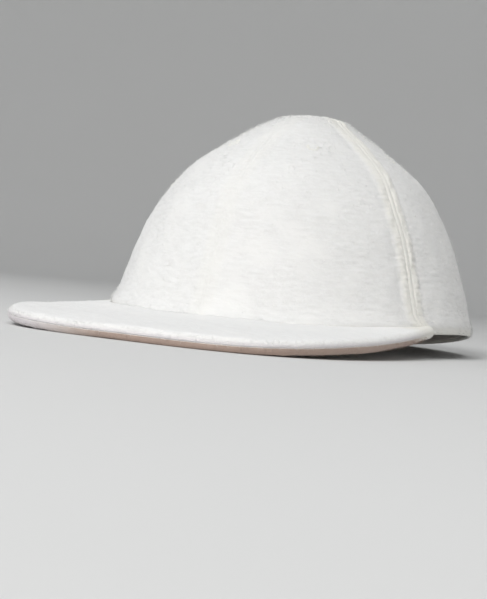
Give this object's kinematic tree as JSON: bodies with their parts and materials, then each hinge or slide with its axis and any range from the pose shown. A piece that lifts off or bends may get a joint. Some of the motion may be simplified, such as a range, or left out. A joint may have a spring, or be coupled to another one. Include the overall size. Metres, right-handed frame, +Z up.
{
  "type": "peaked cap",
  "caption": "Peaked cap of thick napped wool: a dome sewn from gores with a turned hem, a flat stiff peak, sewn eyelets and an inner sweatband.",
  "frame": {"origin": "middle of the bounding box, on the surface that the cap rests on", "axes": "+Z up, +Y towards the wearer's back so that the peak points to -Y, +X towards the wearer's left"},
  "size_m": [0.1786, 0.273, 0.1147],
  "materials": {
    "wool_cloth": "ivory napped wool",
    "under_cloth": "ivory napped wool",
    "band_cloth": "smooth cotton twill",
    "eyelet_thread": "ivory sewing thread"
  },
  "bodies": {
    "root": {"front_panel_left": "wool_cloth", "side_panel_left": "wool_cloth", "back_panel_left": "wool_cloth", "front_panel_right": "wool_cloth", "side_panel_right": "wool_cloth", "back_panel_right": "wool_cloth", "peak_top": "wool_cloth", "peak_underside": "under_cloth", "sweatband": "band_cloth", "eyelet_front_left": "eyelet_thread", "eyelet_side_left": "eyelet_thread", "eyelet_back_left": "eyelet_thread", "eyelet_front_right": "eyelet_thread", "eyelet_side_right": "eyelet_thread", "eyelet_back_right": "eyelet_thread"}
  },
  "joints": []
}
